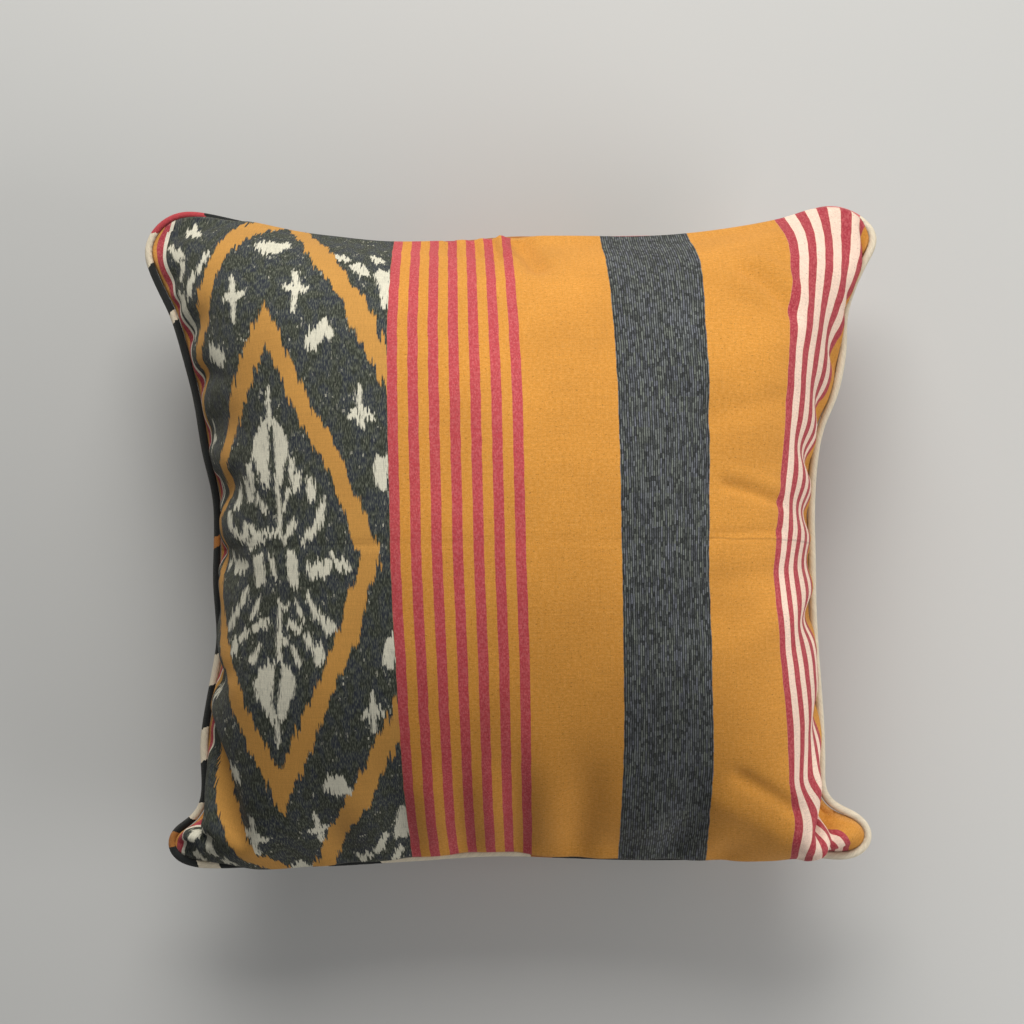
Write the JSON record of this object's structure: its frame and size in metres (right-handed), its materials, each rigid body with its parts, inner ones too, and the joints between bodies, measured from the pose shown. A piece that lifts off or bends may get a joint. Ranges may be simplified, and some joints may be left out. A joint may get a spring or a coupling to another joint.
{
  "type": "ikat cushion",
  "caption": "Square filled cushion in striped ikat cotton, with drawn-in sides, pinched corners and a round piping sewn into its seam, lying on its back.",
  "frame": {"origin": "centre of the bounding box in X and Y, on the plane that the cushion's back rests on", "axes": "+Z out of the face, up; +X to the right across the stripes; +Y along the stripes, towards the head of the face"},
  "size_m": [0.4407, 0.395, 0.1965],
  "materials": {
    "ikat_cotton": "matte plain-weave cotton, woven in stripes of orange, crimson, cream and charcoal with a warp ikat band",
    "piping_cotton": "matte cotton over a round cord, mostly cream"
  },
  "bodies": {
    "root": {"cushion_body": "ikat_cotton", "piping": "piping_cotton"}
  },
  "joints": []
}
